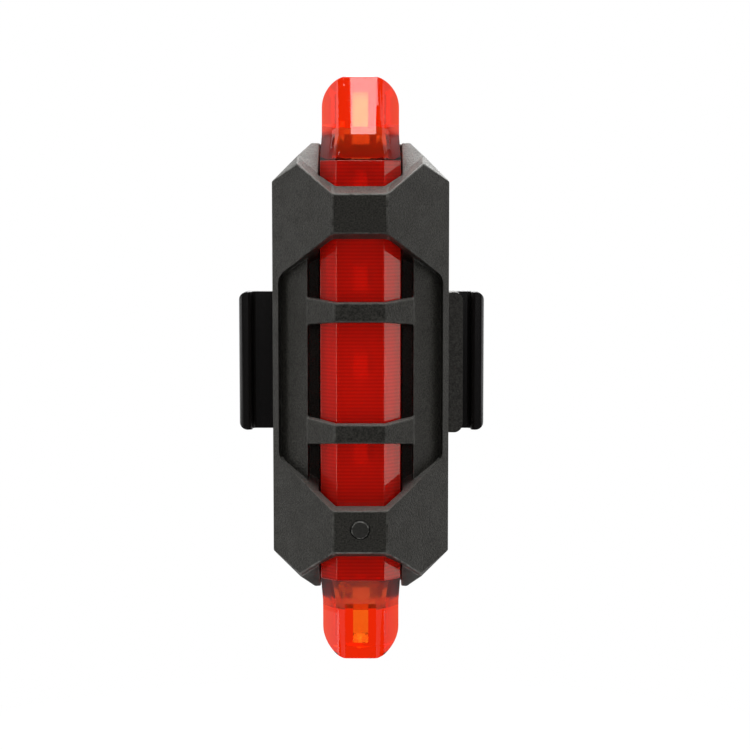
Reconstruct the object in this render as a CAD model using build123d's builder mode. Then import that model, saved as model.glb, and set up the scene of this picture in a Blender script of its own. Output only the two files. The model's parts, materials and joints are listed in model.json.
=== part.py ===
from build123d import *
import os
from math import hypot, radians, sqrt, tan

os.makedirs("parts", exist_ok=True)

# Frame: X to the right seen from the front, Y from the front towards the seatpost, Z up.
# The origin is the deepest point of the saddle that seats on the seatpost.
# All sizes are millimetres.

# Seatpost saddle and bracket
seatpost_radius = 13.6
saddle_half_span = 10.0
saddle_land = 1.5
saddle_splay = 0.5
saddle_thickness = 1.5
saddle_half_height = 8.6
saddle_groove_pitch = 3.0
saddle_groove_width = 0.9
saddle_groove_depth = 0.5
saddle_groove_count = 4
peg_radius = 1.2
peg_length = 1.2
peg_spacing = 10.0
bracket_thickness = 2.0
strap_gap = 1.2
bracket_half_height = 9.2
bracket_corner = 1.1
hook_lip = 1.7
hook_reach = 2.1
hook_outer_radius = 1.2
hook_inner_radius = 0.5
hook_tip_radius = 0.6

# Case outline, seen from the front
cage_half_width = 11.15
cage_half_height = 28.5
cage_corner = 4.9
cage_low_corner = 5.2
cage_corner_lean = 0.3
cage_wall = 1.5
outline_edge = 0.5

# Case depths
receiver_depth = 3.0
cover_depth = 2.5
cover_floor = 1.2
cover_edge = 0.4
side_depth = 8.0
cage_depth = 17.0
receiver_overhang = 2.25
receiver_half_height = 9.3
receiver_corner = 1.2

# Bridges, notches and window of the cage
strip_half_width = 3.35
notch_inset = 6.5
notch_rise = 0.5212
notch_lean = 0.2771
notch_back_lean = 0.656
notch_edge_drop = 2.5
top_bridge_height = 4.8
low_bridge_height = 5.25
window_fall = 0.775
window_rim = 0.75
window_side_draft = 0.3
window_top_draft = 0.25
window_top_slant = 0.2
window_low_draft = 0.06
window_low_slant = 0.1
window_corner_radius = 1.7
recess_depth = 1.5
recess_edge_depth = 0.8
window_gap = 1.6
gap_floor = 1.2

# Guard bars
bar_centre = 7.5
bar_front_height = 2.3
bar_draft = 7.6
bar_thickness = 1.1
bar_strip_half_width = 3.2
bar_end_lap = 0.1
bar_foot_depth = 5.3

# Lens
lens_half_width = 5.0
lens_chamfer = 2.1
lens_drop = 3.2
lens_wall = 1.2
lens_end_inset = 2.4
lens_gap = 0.2
flange_overhang = 1.0
flange_thickness = 1.2
flange_end_gap = 0.2
gasket_thickness = 0.5

# Clear end blocks
cap_length = 10.4
cap_side_inset = 0.2
cap_step = 1.3
cap_ramp = 3.2
cap_flare = 4.5
cap_joint_step = 0.15
cap_flare_ramp = 3.6
cap_flare_top = 2.95
cap_flat_half_width = 1.95
cap_bevel_half_width = 2.75
cap_bevel_drop = 0.35
cap_flare_ramp_drop = 0.9
cap_flare_top_drop = 0.52
cap_side_ramp_drop = 2.5
cap_side_drop = 2.9
cap_back_depth = 2.3
cap_back_chamfer = 1.2
cap_crown_radius = 11.0
cap_corner_radius = 3.7
cap_front_round = 1.1
cap_chamber = 4.0
cap_slot_half_width = 0.95
cap_slot_end = 8.4
spigot_length = 1.2
spigot_wall = 0.8
spigot_clearance = 0.1
lip_length = 0.6
lip_overhang = 0.55
lip_gap = 0.1
chamber_front_wall = 1.5
tongue_gap = 0.2

# Circuit board and what it carries
board_thickness = 1.0
board_side_margin = 0.1
board_corner = 1.5
tongue_half_width = 1.2
tongue_reach = 2.3
led_size = 3.0
led_height = 0.65
led_pocket_radius = 1.1
led_pocket_depth = 0.1
led_pitch = 11.2
led_first_rise = 0.4
led_count = 4
end_led_width = 2.2
end_led_length = 1.4
end_led_height = 1.6
end_led_dome = 0.5

# Button and switch
button_rise = 2.35
button_radius = 1.15
button_clearance = 0.08
button_travel = 0.35
button_proud = 0.05
button_dome = 0.15
button_flange_radius = 1.6
button_flange_thickness = 0.6
button_well_depth = 1.2
button_rest_gap = 0.05
stem_radius = 0.7
stem_hole_radius = 0.95
seal_radius = 1.3
seal_depth = 0.55
seal_clearance = 0.05
switch_width = 3.9
switch_height = 3.0
switch_depth = 1.5
plunger_radius = 0.75
plunger_clearance = 0.1
plunger_proud = 0.5
plunger_depth = 0.4

# Battery and its leads
battery_half_width = 5.8
battery_length = 29.0
battery_thickness = 3.6
battery_bottom = -6.0
battery_edge = 1.0
tape_thickness = 0.4
tape_margin = 1.0
foam_thickness = 0.6
foam_margin = 1.5
lead_spacing = 4.0
lead_radius = 0.45
lead_drop = 2.4
lead_bend = 1.3

# Back of the board
chip_length = 1.6
chip_width = 0.8
chip_thickness = 0.5
chip_x = -3.4
chip_first_z = -9.6
chip_pitch = 1.9
chip_rows = 4
chip_columns = 2
chip_column_pitch = 2.2
ic_length = 4.9
ic_width = 3.9
ic_thickness = 1.4
ic_x = 2.3
ic_z = -12.6
ic_lead_count = 4
ic_lead_pitch = 1.27
ic_lead_width = 0.4
ic_lead_reach = 0.7
ic_lead_thickness = 0.3

# Charging socket and its flap
port_inset = 10.3
usb_width = 7.4
usb_height = 2.5
usb_wall = 0.3
usb_corner = 0.7
usb_mouth_gap = 0.1
usb_base_depth = 2.0
usb_tongue_width = 3.9
usb_tongue_height = 0.6
usb_tongue_inset = 1.2
usb_clearance = 0.05
contact_count = 5
contact_pitch = 0.65
contact_width = 0.35
contact_thickness = 0.12
contact_length = 1.4
port_clearance = 0.3
port_pad_depth = 0.8
port_pad_margin = 1.2
flap_half_width = 5.2
flap_half_height = 2.9
flap_thickness = 0.9
flap_seat_depth = 0.65
flap_seat_gap = 0.05
flap_edge_gap = 0.3
flap_corner = 1.2
flap_plug_width = 5.6
flap_plug_height = 1.1
flap_plug_depth = 0.8
flap_plug_corner = 0.37
flap_lip_width = 3.0
flap_lip_height = 0.5
flap_lip_rise = 0.3
flap_lip_inset = 0.7
hinge_drop = 0.5
hinge_half_width = 2.0
hinge_radius = 0.3
hinge_gap = 0.05
anchor_height = 1.9
anchor_thickness = 0.5
anchor_peg_radius = 0.7
anchor_barb_radius = 1.1
anchor_barb_thickness = 0.4

# Screws
shell_screw_inset = 9.3
boss_radius = 1.9
boss_side_gap = 0.3
boss_gap = 0.05
shell_head_radius = 1.45
shell_head_height = 1.0
shell_shank_radius = 0.75
shell_screw_grip = 3.4
bracket_screw_x = 8.5
bracket_head_radius = 1.7
bracket_head_height = 1.1
bracket_shank_radius = 0.9
bracket_screw_grip = 3.4
screw_clearance = 0.05
head_clearance = 0.15
screw_tip_gap = 0.3
cross_width = 0.35
cross_length = 1.6
cross_depth = 0.5
tongue_rim_height = 0.8
tongue_rim_thickness = 0.8
tongue_rim_gap = 0.1

# How far a cutting shape runs past what it cuts, and how close two equal places lie
cut_past = 1.0
same_place = 0.01

# Places along Y, from the saddle forward
y_bracket_back = -saddle_thickness
y_bracket_front = y_bracket_back - bracket_thickness
y_cover_back = y_bracket_front - receiver_depth
y_parting = y_cover_back - cover_depth
y_shoulder = y_parting - side_depth
y_face = y_parting - cage_depth
y_lens = y_face + lens_drop
y_lens_inside = y_lens + lens_wall
y_cover_inside = y_cover_back - cover_floor
y_battery_back = y_cover_inside - foam_thickness
y_battery_front = y_battery_back - battery_thickness
y_board_back = y_battery_front - tape_thickness
y_board_front = y_board_back - board_thickness
y_flange_front = y_board_front - flange_thickness
y_cavity = y_flange_front - gasket_thickness
y_gap_floor = y_cavity - gap_floor
y_cap_back = y_board_front + cap_back_depth
y_rim_end = y_parting - tongue_rim_height
y_boss_end = y_rim_end - boss_gap
y_flap_seat = y_cover_back - flap_seat_depth
y_usb_mouth = y_flap_seat - usb_mouth_gap
y_flap_inside = y_flap_seat + flap_seat_gap
y_port_pad = y_cover_inside - port_pad_depth
y_switch_front = y_board_front - switch_depth
y_plunger_front = y_switch_front - plunger_proud
y_well_roof = y_lens - lens_gap - button_well_depth
y_button_flange = y_well_roof + button_rest_gap

# Places along X and Z, from the middle outward
receiver_half_width = cage_half_width + receiver_overhang
bracket_half_width = receiver_half_width + strap_gap + hook_lip
window_half_width = cage_half_width - window_rim
recess_inner = lens_half_width + window_gap
bar_end = recess_inner + bar_end_lap
notch_ridge = cage_half_height - notch_inset
window_top = notch_ridge - top_bridge_height
window_low = notch_ridge - low_bridge_height
lens_half_length = cage_half_height - lens_end_inset
cap_half_width = lens_half_width - cap_side_inset
flange_half_width = lens_half_width + flange_overhang
board_half_width = flange_half_width - board_side_margin
tongue_end = lens_half_length + tongue_reach
shell_screw_x = flange_half_width + boss_side_gap + boss_radius
shell_screw_z = cage_half_height - shell_screw_inset
button_z = -window_low - button_rise
port_z = port_inset - cage_half_height
bracket_screw_places = [(-bracket_screw_x, 0), (bracket_screw_x, 0)]
shell_screw_places = [
    (x, z) for x in (-shell_screw_x, shell_screw_x) for z in (-shell_screw_z, shell_screw_z)
]
peg_places = [(0, -peg_spacing / 2), (0, peg_spacing / 2)]
hinge_z = port_z - flap_half_height - hinge_drop
anchor_top = hinge_z - hinge_radius - hinge_gap
led_first = notch_ridge + led_first_rise

# Slope of the cage's side facets, and the recess sunk below them
facet_slope = (y_shoulder - y_face) / (cage_half_width - strip_half_width)
recess_drop = recess_depth * hypot(1, facet_slope)
recess_edge_drop = recess_edge_depth * hypot(1, facet_slope)


def facet_y(x):
    """Depth of the side facet at a distance x from the middle."""
    return y_face + facet_slope * (x - strip_half_width)


def notch_z(x, y):
    """Height of the end notch's surface at a distance x from the middle and depth y."""
    return notch_ridge + notch_rise * (x - strip_half_width) + notch_lean * (y - y_face)


def face_plane(y):
    """Plane that faces forward at depth y: its sketches show X and Z, and extrude forward."""
    return Plane.XZ.offset(-y)


def mirrored(points):
    """Closed outline from its right half, mirrored across the middle."""
    return [*points, *[(-x, y) for x, y in reversed(points)]]


def case_outline(inset=0.0, mode=Mode.ADD):
    """Eight-sided outline of the case, drawn inside its outer wall by inset."""
    half_width = cage_half_width - inset
    half_height = cage_half_height - inset
    corner = cage_corner - inset * (2 - sqrt(2))
    low_corner = cage_low_corner - inset * (2 - sqrt(2))
    Polygon(
        *mirrored([
            (half_width - corner, half_height), (half_width, half_height - corner),
            (half_width, low_corner - half_height), (half_width - low_corner, -half_height),
        ]),
        align=None, mode=mode,
    )


def lens_profile(grow, y_back):
    """Section of the lens tube across Z, grown by grow on every side but its back."""
    flat = lens_half_width - lens_chamfer + grow * (sqrt(2) - 1)
    side = lens_half_width + grow
    front = y_lens - grow
    Polygon(*mirrored([(flat, front), (side, front + side - flat), (side, y_back)]), align=None)


def notch_space(drop):
    """Space outside both end notches, with its surfaces lowered into the case by drop."""
    ridge = notch_ridge - drop
    far = 2 * cage_half_width
    high = 2 * cage_half_height
    with BuildPart() as space:
        for end in (1, -1):
            with BuildSketch(face_plane(y_face)):
                Polygon(
                    *mirrored([
                        (strip_half_width, end * ridge),
                        (far, end * (ridge + notch_rise * (far - strip_half_width))),
                        (far, end * high),
                    ]),
                    align=None,
                )
            extrude(amount=2 * cage_depth, dir=(0, 1, end * notch_lean))
    return space.part


# Outside, the notch turns up to the end wall, which it meets behind the depth of the side edges
y_notch_edge = y_shoulder + notch_edge_drop
notch_low = cage_half_height - notch_back_lean * (y_notch_edge - y_face)
notch_high = cage_half_height + notch_back_lean * (y_cover_back - y_notch_edge)
with BuildPart() as outer_notch:
    add(notch_space(0))
    with BuildSketch(Plane.YZ):
        for end in (1, -1):
            Polygon(
                (y_face, end * notch_low), (y_cover_back, end * notch_high),
                (y_face, end * notch_high),
                align=None,
            )
    extrude(amount=2 * cage_half_width, both=True, mode=Mode.INTERSECT)

# Inside, its surfaces keep their first slope and stand a wall's thickness or more lower
cavity_notch = notch_space(cage_wall)
rim_notch = notch_space(cage_wall + tongue_rim_gap)
rim_inside_notch = notch_space(cage_wall + tongue_rim_gap + tongue_rim_thickness)
flange_half_length = notch_z(lens_half_width + lens_gap, y_cavity) - cage_wall - flange_end_gap

# Space inside the cage, behind the lens channel
with BuildPart() as cage_cavity:
    with BuildSketch(face_plane(y_parting)):
        case_outline(cage_wall)
    extrude(amount=y_parting - y_cavity)
    add(cavity_notch, mode=Mode.SUBTRACT)

# Rim of the rear cover that enters the cage
with BuildPart() as rim_hollow:
    with BuildSketch(face_plane(y_cover_inside)):
        case_outline(cage_wall + tongue_rim_gap + tongue_rim_thickness)
    extrude(amount=y_cover_inside - y_rim_end)
    add(rim_inside_notch, mode=Mode.SUBTRACT)
with BuildPart() as cover_rim:
    with BuildSketch(face_plane(y_cover_inside)):
        case_outline(cage_wall + tongue_rim_gap)
    extrude(amount=y_cover_inside - y_rim_end)
    add(rim_notch, mode=Mode.SUBTRACT)
    add(rim_hollow.part, mode=Mode.SUBTRACT)


def slanted_wall(side, end, ridge, draft):
    """Plane of one slanted window wall, which leans towards the lens by draft."""
    start = Vector(side * strip_half_width, y_face, end * ridge)
    fall = window_fall * (window_half_width - strip_half_width)
    finish = Vector(side * window_half_width, facet_y(window_half_width), end * (ridge - fall))
    inward = Vector(-side * window_fall, 0, -end).normalized() * draft + Vector(0, 1, 0)
    normal = inward.cross(finish - start).normalized()
    return Plane(start, z_dir=normal * (-side * end))


# Space of the window in the cage: three drafted walls at each end, one on each side
window_ends = [
    (1, window_top, window_top_draft, window_top_slant),
    (-1, window_low, window_low_draft, window_low_slant),
]
with BuildPart() as window_space:
    with BuildSketch(face_plane(y_gap_floor)):
        Rectangle(2 * cage_half_width, 2 * cage_half_height)
    extrude(amount=y_gap_floor - y_face + cut_past)
    for end, ridge, bridge_draft, slant_draft in window_ends:
        bridge_wall = Plane((0, y_face, end * ridge), z_dir=(0, bridge_draft, end))
        side_point = (end * window_half_width, facet_y(window_half_width), 0)
        side_wall = Plane(side_point, z_dir=(end, window_side_draft, 0))
        split(bisect_by=bridge_wall, keep=Keep.BOTTOM)
        split(bisect_by=side_wall, keep=Keep.BOTTOM)
        for side in (1, -1):
            split(bisect_by=slanted_wall(side, end, ridge, slant_draft), keep=Keep.BOTTOM)
    side_corners = [
        edge for edge in window_space.edges()
        if abs(edge.center().X) > recess_inner and abs((edge @ 1 - edge @ 0).Y) > bar_thickness
    ]
    fillet(side_corners, window_corner_radius)
    with BuildSketch(Plane.XY.offset(-cage_half_height)):
        flat_y = facet_y(recess_inner) + recess_drop
        edge_y = facet_y(cage_half_width) + recess_edge_drop
        Polygon(
            *mirrored([
                (cage_half_width, y_face - cut_past), (cage_half_width, edge_y),
                (recess_inner, flat_y), (recess_inner, y_gap_floor),
            ]),
            align=None,
        )
    extrude(amount=2 * cage_half_height, mode=Mode.INTERSECT)

# One guard bar, seen along Z as a bent strip and along X as a drafted one
bar_front = y_lens - lens_gap - bar_thickness
bar_foot_height = bar_front_height + 2 * bar_foot_depth * tan(radians(bar_draft))
with BuildPart() as guard_bars:
    with BuildSketch(Plane.XY.offset(bar_centre - bar_foot_height / 2)):
        Polygon(
            *mirrored([
                (bar_strip_half_width, bar_front),
                (bar_end, bar_front + bar_end - bar_strip_half_width),
                (bar_end, bar_front + bar_foot_depth),
            ]),
            align=None,
        )
    extrude(amount=bar_foot_height)
    with BuildSketch(Plane.YZ):
        Polygon(
            (bar_front, bar_centre - bar_front_height / 2),
            (bar_front + bar_foot_depth, bar_centre - bar_foot_height / 2),
            (bar_front + bar_foot_depth, bar_centre + bar_foot_height / 2),
            (bar_front, bar_centre + bar_front_height / 2),
            align=None,
        )
    extrude(amount=bar_end, both=True, mode=Mode.INTERSECT)
    with BuildSketch(Plane.XY.offset(bar_centre - bar_foot_height / 2)):
        lens_profile(lens_gap, y_parting)
        with Locations((0, y_parting)):
            Rectangle(2 * recess_inner, 2 * (y_parting - bar_front - bar_foot_depth))
    extrude(amount=bar_foot_height, mode=Mode.SUBTRACT)
    with BuildSketch(Plane.XY.offset(bar_centre - bar_foot_height / 2)):
        under_wing = bar_front + bar_thickness
        Polygon(
            *mirrored([
                (lens_half_width, under_wing + lens_half_width - bar_strip_half_width + lens_gap),
                (recess_inner, under_wing + recess_inner - bar_strip_half_width + lens_gap),
                (recess_inner, y_parting),
            ]),
            align=None,
        )
    extrude(amount=bar_foot_height, mode=Mode.SUBTRACT)
    mirror(about=Plane.XY)

# Front shell: the cage
with BuildPart() as front_shell:
    with BuildSketch(face_plane(y_parting)):
        case_outline()
    extrude(amount=cage_depth)
    fillet(front_shell.edges().filter_by(Axis.Y), outline_edge)
    with BuildSketch(Plane.XY.offset(-cage_half_height)):
        Polygon(
            *mirrored([
                (strip_half_width, y_face), (cage_half_width, y_shoulder),
                (cage_half_width, y_parting),
            ]),
            align=None,
        )
    extrude(amount=2 * cage_half_height, mode=Mode.INTERSECT)
    for end, corner in ((1, cage_corner), (-1, cage_low_corner)):
        for side in (1, -1):
            corner_point = (side * cage_half_width, y_shoulder, end * (cage_half_height - corner))
            split(bisect_by=Plane(corner_point, z_dir=(side, -cage_corner_lean, end)), keep=Keep.BOTTOM)
    add(outer_notch.part, mode=Mode.SUBTRACT)
    add(window_space.part, mode=Mode.SUBTRACT)
    add(guard_bars.part)
    with BuildSketch(Plane.XY.offset(-cage_half_height)):
        lens_profile(lens_gap, y_cavity)
    extrude(amount=2 * cage_half_height, mode=Mode.SUBTRACT)
    add(cage_cavity.part, mode=Mode.SUBTRACT)
    with BuildSketch(face_plane(y_cap_back + lens_gap)):
        Rectangle(2 * (lens_half_width + lens_gap), 2 * cage_half_height)
    extrude(amount=y_cap_back + lens_gap - y_cavity, mode=Mode.SUBTRACT)
    with BuildSketch(face_plane(y_boss_end)):
        with Locations(*shell_screw_places):
            Circle(boss_radius)
    extrude(amount=y_boss_end - y_cavity)
    with BuildSketch(face_plane(y_parting)):
        with Locations(*shell_screw_places):
            Circle(shell_shank_radius + screw_clearance)
    pilot_depth = tongue_rim_height + shell_screw_grip + screw_tip_gap
    extrude(amount=pilot_depth, mode=Mode.SUBTRACT)
    with BuildSketch(face_plane(y_lens)):
        with Locations((0, button_z)):
            Circle(button_radius + button_clearance)
    extrude(amount=lens_drop, mode=Mode.SUBTRACT)
    with BuildSketch(face_plane(y_lens)):
        with Locations((0, button_z)):
            Circle(button_flange_radius + button_clearance)
    extrude(amount=y_lens - y_well_roof, mode=Mode.SUBTRACT)
front_shell.part.label = "front_shell"
export_step(front_shell.part, "parts/front_shell.step")

# Rear cover: floor, rim that enters the cage, screw pillars, receiver block and port
with BuildPart() as rear_cover:
    with BuildSketch(face_plane(y_cover_back)):
        case_outline()
    extrude(amount=cover_depth)
    fillet(rear_cover.edges().filter_by(Axis.Y), outline_edge)
    chamfer(rear_cover.faces().sort_by(Axis.Y)[-1].edges(), cover_edge)
    add(rim_hollow.part, mode=Mode.SUBTRACT)
    add(cover_rim.part)
    with BuildSketch(face_plane(y_cover_inside)):
        with Locations(*shell_screw_places):
            Circle(boss_radius)
        case_outline(cage_wall + tongue_rim_gap, mode=Mode.INTERSECT)
    extrude(amount=y_cover_inside - y_rim_end)
    with BuildSketch(face_plane(y_bracket_front)):
        with Locations((receiver_overhang / 2, 0)):
            RectangleRounded(2 * cage_half_width + receiver_overhang, 2 * receiver_half_height,
                             receiver_corner)
    extrude(amount=receiver_depth + cover_floor)
    pad_top = port_z + flap_half_height + port_pad_margin
    pad_bottom = anchor_top - anchor_height - port_pad_margin
    with BuildSketch(face_plane(y_cover_inside)):
        with Locations((0, (pad_top + pad_bottom) / 2)):
            Rectangle(2 * (flap_half_width + port_pad_margin), pad_top - pad_bottom)
    extrude(amount=port_pad_depth)
    with BuildSketch(face_plane(y_cover_back)):
        with Locations((0, port_z)):
            seat_width = 2 * (flap_half_width + flap_edge_gap)
            RectangleRounded(seat_width, 2 * (flap_half_height + flap_edge_gap), flap_corner)
        seat_bottom = anchor_top - anchor_height - flap_edge_gap
        with Locations((0, (port_z + seat_bottom) / 2)):
            Rectangle(2 * (hinge_half_width + flap_edge_gap), port_z - seat_bottom)
    extrude(amount=flap_seat_depth, mode=Mode.SUBTRACT)
    with BuildSketch(face_plane(y_cover_back)):
        with Locations((0, port_z)):
            RectangleRounded(usb_width + 2 * port_clearance, usb_height + 2 * port_clearance,
                             usb_corner + port_clearance)
        with Locations((0, anchor_top - anchor_height / 2)):
            Circle(anchor_peg_radius + screw_clearance)
        with Locations(*shell_screw_places):
            Circle(shell_shank_radius + head_clearance)
    extrude(amount=cage_depth, mode=Mode.SUBTRACT)
    with BuildSketch(face_plane(y_cover_back)):
        with Locations(*shell_screw_places):
            Circle(shell_head_radius + head_clearance)
    extrude(amount=cover_floor, mode=Mode.SUBTRACT)
    with BuildSketch(face_plane(y_bracket_front)):
        with Locations(*bracket_screw_places):
            Circle(bracket_shank_radius + screw_clearance)
    extrude(amount=bracket_screw_grip + screw_tip_gap, mode=Mode.SUBTRACT)
rear_cover.part.label = "rear_cover"
export_step(rear_cover.part, "parts/rear_cover.step")

# Lens: a tube open at the back, with a flange along each side
with BuildPart() as lens:
    with BuildSketch(Plane.XY.offset(-lens_half_length)):
        lens_profile(0, y_board_front)
    extrude(amount=2 * lens_half_length)
    with BuildSketch(face_plane(y_board_front)):
        Rectangle(2 * flange_half_width, 2 * flange_half_length)
    extrude(amount=flange_thickness)
    with BuildSketch(Plane.XY.offset(-lens_half_length)):
        lens_profile(-lens_wall, y_parting)
    extrude(amount=2 * lens_half_length, mode=Mode.SUBTRACT)
    with BuildSketch(face_plane(y_lens_inside)):
        with Locations((0, button_z)):
            Circle(stem_hole_radius)
    extrude(amount=lens_wall, mode=Mode.SUBTRACT)
    with BuildSketch(face_plane(y_lens + seal_depth)):
        with Locations((0, button_z)):
            Circle(seal_radius + seal_clearance)
    extrude(amount=seal_depth, mode=Mode.SUBTRACT)
lens.part.label = "lens"
export_step(lens.part, "parts/lens.step")

# Gasket strips on the lens flange
with BuildPart() as lens_gaskets:
    strip_width = flange_overhang - lens_gap
    with BuildSketch(face_plane(y_flange_front)):
        with GridLocations(2 * flange_half_width - strip_width, 0, 2, 1):
            Rectangle(strip_width, 2 * flange_half_length)
    extrude(amount=gasket_thickness)
lens_gaskets.part.label = "lens_gaskets"
export_step(lens_gaskets.part, "parts/lens_gaskets.step")


def cap_section(flat, flat_y, bevel, bevel_y, flare, flare_y, side, side_y):
    """Section of an end block across Z: front flat, two bevels, side and chamfered back."""
    Polygon(
        *mirrored([
            (flat, flat_y), (bevel, bevel_y), (flare, flare_y), (side, side_y),
            (side, y_cap_back - cap_back_chamfer), (side - cap_back_chamfer, y_cap_back),
        ]),
        align=None,
    )


# End block: it leaves the lens with the lens's own section and narrows up a ramp
lens_flat = lens_half_width - lens_chamfer
y_cap = y_lens + cap_step
cap_top = lens_half_length + cap_length
chamber_front = y_cap + chamber_front_wall
chamber_back = y_board_back + tongue_gap
chamber_half_width = lens_half_width - lens_wall - spigot_clearance - spigot_wall
lip_top = notch_z(lens_half_width + lens_gap, chamber_back) - cage_wall - lip_gap
with BuildPart() as end_cap_top:
    with BuildSketch(Plane.XY.offset(lens_half_length)):
        cap_section(
            lens_flat, y_lens, lens_flat + cap_joint_step, y_lens + cap_joint_step,
            lens_half_width - cap_joint_step, y_lens + lens_chamfer - cap_joint_step,
            lens_half_width, y_lens + lens_chamfer,
        )
    with BuildSketch(Plane.XY.offset(lens_half_length + cap_ramp)):
        cap_section(
            cap_flat_half_width, y_cap, cap_bevel_half_width, y_cap + cap_bevel_drop,
            cap_flare_ramp, y_cap + cap_flare_ramp_drop, cap_half_width, y_cap + cap_side_ramp_drop,
        )
    with BuildSketch(Plane.XY.offset(lens_half_length + cap_flare)):
        cap_section(
            cap_flat_half_width, y_cap, cap_bevel_half_width, y_cap + cap_bevel_drop,
            cap_flare_top, y_cap + cap_flare_top_drop, cap_half_width, y_cap + cap_side_drop,
        )
    loft(ruled=True)
    with BuildSketch(Plane.XY.offset(lens_half_length + cap_flare)):
        cap_section(
            cap_flat_half_width, y_cap, cap_bevel_half_width, y_cap + cap_bevel_drop,
            cap_flare_top, y_cap + cap_flare_top_drop, cap_half_width, y_cap + cap_side_drop,
        )
    extrude(amount=cap_length - cap_flare)
    with BuildSketch(face_plane(y_cap_back)) as crown:
        with Locations((0, cap_top - cap_crown_radius)):
            Circle(cap_crown_radius)
        with Locations((0, cap_top - cap_length / 2)):
            Rectangle(2 * cap_half_width, cap_length, mode=Mode.INTERSECT)
        fillet(crown.vertices().group_by(Axis.Y)[-1], cap_corner_radius)
        with Locations((0, lens_half_length + cap_ramp / 2)):
            Rectangle(2 * lens_half_width, cap_ramp)
    extrude(amount=y_cap_back - y_lens, mode=Mode.INTERSECT)
    with BuildSketch(Plane.YZ) as side_view:
        with Locations(((y_lens + y_cap_back) / 2, cap_top - cap_length / 2)):
            Rectangle(y_cap_back - y_lens, cap_length)
        top_corners = side_view.vertices().group_by(Axis.Y)[-1].sort_by(Axis.X)
        fillet(top_corners[0], cap_step + cap_front_round)
    extrude(amount=lens_half_width, both=True, mode=Mode.INTERSECT)
    with BuildSketch(face_plane(y_cap_back)):
        with Locations((0, lip_top - lip_length / 2)):
            Rectangle(2 * (lens_half_width + lip_overhang), lip_length)
        with Locations((0, (lens_half_length + lip_top) / 2)):
            Rectangle(2 * (cap_half_width - cap_back_chamfer), lens_half_length - lip_top)
    extrude(amount=y_cap_back - chamber_back)
    with BuildSketch(Plane.XY.offset(lens_half_length)):
        lens_profile(-lens_wall - spigot_clearance, y_board_front - spigot_clearance)
    extrude(amount=-spigot_length)
    with BuildSketch(Plane.XY.offset(lens_half_length + cap_chamber)):
        with Locations((0, (chamber_front + chamber_back) / 2)):
            Rectangle(2 * chamber_half_width, chamber_back - chamber_front)
    extrude(amount=-cap_chamber, mode=Mode.SUBTRACT)
    with BuildSketch(Plane.XY.offset(lens_half_length)):
        lens_profile(-lens_wall - spigot_clearance - spigot_wall, y_parting)
    extrude(amount=-spigot_length, mode=Mode.SUBTRACT)
    with BuildSketch(Plane.XY.offset(lens_half_length)):
        with Locations((0, (chamber_front + y_flange_front) / 2)):
            Rectangle(2 * cap_slot_half_width, y_flange_front - chamber_front)
    extrude(amount=cap_slot_end, mode=Mode.SUBTRACT)
end_cap_top.part.label = "end_cap_top"
export_step(end_cap_top.part, "parts/end_cap_top.step")

with BuildPart() as end_cap_bottom:
    mirror(end_cap_top.part, about=Plane.XY)
end_cap_bottom.part.label = "end_cap_bottom"
export_step(end_cap_bottom.part, "parts/end_cap_bottom.step")

# Circuit board with a tongue into each end block
with BuildPart() as led_board:
    with BuildSketch(face_plane(y_board_back)) as board_outline:
        Rectangle(2 * board_half_width, 2 * flange_half_length)
        chamfer(board_outline.vertices(), board_corner)
        Rectangle(2 * tongue_half_width, 2 * tongue_end)
    extrude(amount=board_thickness)
led_board.part.label = "led_board"
export_step(led_board.part, "parts/led_board.step")

# Lamps that face forward, in a row down the board
led_places = [(0, led_first - led_pitch * number) for number in range(led_count)]
with BuildPart() as face_leds:
    with BuildSketch(face_plane(y_board_front)):
        with Locations(*led_places):
            Rectangle(led_size, led_size)
    extrude(amount=led_height)
    with BuildSketch(face_plane(y_board_front - led_height + led_pocket_depth)):
        with Locations(*led_places):
            Circle(led_pocket_radius)
    extrude(amount=led_pocket_depth, mode=Mode.SUBTRACT)
face_leds.part.label = "face_leds"
export_step(face_leds.part, "parts/face_leds.step")

# Lamps on the tongues, shining into the end blocks
with BuildPart() as end_leds:
    with BuildSketch(face_plane(y_board_front)):
        with GridLocations(0, 2 * tongue_end - end_led_length, 1, 2):
            Rectangle(end_led_width, end_led_length)
    extrude(amount=end_led_height)
    with Locations((0, y_board_front - end_led_height / 2, tongue_end),
                   (0, y_board_front - end_led_height / 2, -tongue_end)):
        Sphere(end_led_dome)
end_leds.part.label = "end_leds"
export_step(end_leds.part, "parts/end_leds.step")

# Push switch on the front of the board, its plunger in a blind bore
with BuildPart() as switch_body:
    with BuildSketch(face_plane(y_board_front)):
        with Locations((0, button_z)):
            Rectangle(switch_width, switch_height)
    extrude(amount=switch_depth)
    with BuildSketch(face_plane(y_switch_front + plunger_depth + button_travel + button_rest_gap)):
        with Locations((0, button_z)):
            Circle(plunger_radius + plunger_clearance)
    extrude(amount=switch_depth, mode=Mode.SUBTRACT)
switch_body.part.label = "switch_body"
export_step(switch_body.part, "parts/switch_body.step")

with BuildPart() as switch_plunger:
    with BuildSketch(face_plane(y_switch_front + plunger_depth)):
        with Locations((0, button_z)):
            Circle(plunger_radius)
    extrude(amount=plunger_depth + plunger_proud)
switch_plunger.part.label = "switch_plunger"
export_step(switch_plunger.part, "parts/switch_plunger.step")

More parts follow.
